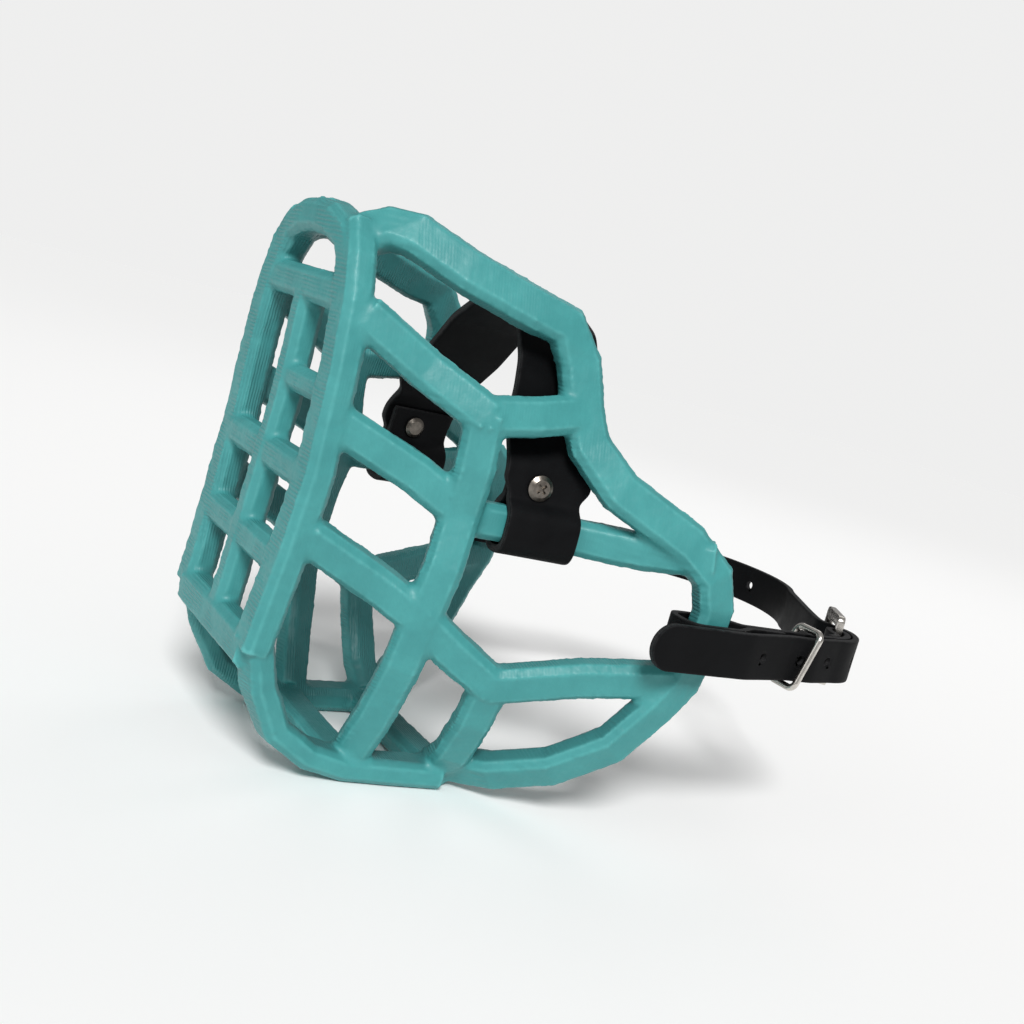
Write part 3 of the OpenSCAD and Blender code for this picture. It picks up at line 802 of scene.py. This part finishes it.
def build_nose_band():
    """The band over the nose, from one looped end over the bridge to the other."""
    run = WAIST[1] - WAIST[0]
    slant = math.atan2(run[0], run[1])
    spot = WAIST[0] + run * (BAND_Y - WAIST[0][1]) / run[1]
    # The spot is on the bar's outer face, and its middle line is half a bar further in.
    out = np.array([spot[0], (spot[1] - 75) * 0.28, (spot[2] - 75) * 0.3])
    centre = spot - out / np.linalg.norm(out) * BAR / 2
    room = 0.7 + BAND_THICK / 2
    loop_out, loop_low = BAR / 2 + room, 5 + room
    ply = BAND_THICK / 2 + 0.1
    bend = 3.4
    top = (-4.6, RISE + 11.8)
    end = ([(-ply, RISE + 5.5), (-ply, RISE - 4.2), (-loop_out, 4)]
           + arc((-loop_out + bend, -loop_low + bend), bend, 180, 270, 5)
           + arc((loop_out - bend, -loop_low + bend), bend, 270, 360, 5)
           + [(loop_out, 4), (ply, RISE - 4.2), (ply, RISE + 4), (-1, RISE + 7.4), top])

    def left_end(x, z, lean=0):
        """A place in the loop's plane, x away from the bar and z up, leaning inwards."""
        a = math.radians(lean)
        u, w = x * math.cos(a) - z * math.sin(a), x * math.sin(a) + z * math.cos(a)
        return centre + np.array([u * math.cos(slant), -u * math.sin(slant), w])

    def right_end(x, z):
        return left_end(x, z, lean=6) * np.array((-1, 1, 1))

    left, right = left_end(*top), right_end(*top)
    over_nose = ((-0.6, 3.5), (-0.8, 12), (-2.6, 20), (-9, 29.5), (-20, 34.5), (-32, 33), (-46, 25),
                 (-57, 14))
    arch = [(left[0] + x, BAND_Y, left[2] + z) for x, z in over_nose]
    arch += [(right[0] + x, BAND_Y, right[2] + z) for x, z in ((4.2, 6), (1.6, 2.4))]
    points = [left_end(x, z) for x, z in end] + arch + [right_end(x, z) for x, z in reversed(end)]
    along = np.array([math.sin(slant), math.cos(slant), 0])
    laterals = [along] * len(end) + [(0, 1, 0)] * len(arch) + [along * (-1, 1, 0)] * len(end)
    path = Ribbon(points - ROW_SHIFT, laterals, ease=16)
    # The band widens between the marks, level with its screws.
    low, high = RISE - 1, RISE + 1.5
    left_marks = [path.nearest(left_end(ply, z) - ROW_SHIFT) for z in (low, high)]
    right_marks = [path.nearest(right_end(ply, z) - ROW_SHIFT) for z in (high, low)]

    def half(s):
        from_left = (s - left_marks[0] + 2) / (left_marks[1] - left_marks[0] + 2)
        from_right = (right_marks[1] + 2 - s) / (right_marks[1] - right_marks[0] + 2)
        k = min(max(min(from_left, from_right), 0), 1)
        return (BAND_NARROW + (BAND_WIDE - BAND_NARROW) * k * k * (3 - 2 * k)) / 2

    strap("nose_band_soft", path, half, BAND_THICK, [], "nose_band", ["nose_band"], seed=31)


# ---- the buckle ----


def rounded_box(x0, x1, z1, radius):
    """Points round a rectangle from x0 to x1 and -z1 to z1, with rounded corners."""
    out = []
    for cx, cz, start in ((x1, z1, 0), (x0, z1, 90), (x0, -z1, 180), (x1, -z1, 270)):
        centre = (cx - math.copysign(radius, cx - (x0 + x1) / 2), cz - math.copysign(radius, cz))
        out += arc(centre, radius, start, start + 90, 7)
    return out


def build_buckle():
    """The buckle's flat frame: wide side and far bars, and a narrow heel bar in the fold."""
    heel, far, tall = (-1.25, 1.25), (12.7, 15.9), (7.7, 11.0)
    levels = edge_levels(low=-0.8, high=1.3, r=0.5)
    rings = [(rounded_box(heel[0] + i, far[1] - i, tall[1] - i, radius=1.9), h) for i, h in levels]
    rings += [(rounded_box(heel[1] - i, far[0] + i, tall[0] + i, radius=1.0), h)
              for i, h in reversed(levels)]
    verts = []
    for ring, height in rings:
        for along, up in ring:
            x, y, z = in_plan(by_buckle(along, height))
            verts.append((x * MM, y * MM, (z + up) * MM))
    n = len(rings[0][0])
    faces = []
    for k in range(len(rings)):
        a, b = k * n, (k + 1) % len(rings) * n
        faces += [(a + i, a + (i + 1) % n, b + (i + 1) % n, b + i) for i in range(n)]
    mesh = bpy.data.meshes.new("buckle_plate")
    mesh.from_pydata(verts, [], faces)
    face_outwards(mesh)
    smooth_with_edges(mesh)
    new_object("buckle_plate", mesh, "buckle", "nickel", ["buckle_frame"], NICKEL)


build_basket(0.5 * MM)
build_buckle_strap()
build_billet()
build_nose_band()
build_buckle()

DARK_PIECES = ("nose_screw_left", "nose_screw_right", "nose_post_left", "nose_post_right",
               "rim_rivet_left", "rim_rivet_right", "buckle_rivet")
BRIGHT_PIECES = ("buckle_frame", "buckle_prong", "keeper_ring")
for finish, nodes in ((DARK, DARK_PIECES), (NICKEL, BRIGHT_PIECES)):
    for node in nodes:
        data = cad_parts[node].data
        data.materials.clear()
        data.materials.append(finish)

# ---- the floor ----


def add_floor():
    """A wide floor, a hair under the basket's rungs."""
    size, z = 3.0, -0.0002
    mesh = bpy.data.meshes.new("floor")
    corners = [(-size, -size, z), (size, -size, z), (size, size, z), (-size, size, z)]
    mesh.from_pydata(corners, [], [(0, 1, 2, 3)])
    mesh.materials.append(floor_paint())
    obj = bpy.data.objects.new("floor", mesh)
    scene.collection.objects.link(obj)
    obj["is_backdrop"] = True


add_floor()


def plain(box):
    return [[float(v) for v in corner] for corner in box]


{"cad": plain(CAD_BOX), "visual": plain(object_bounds())}
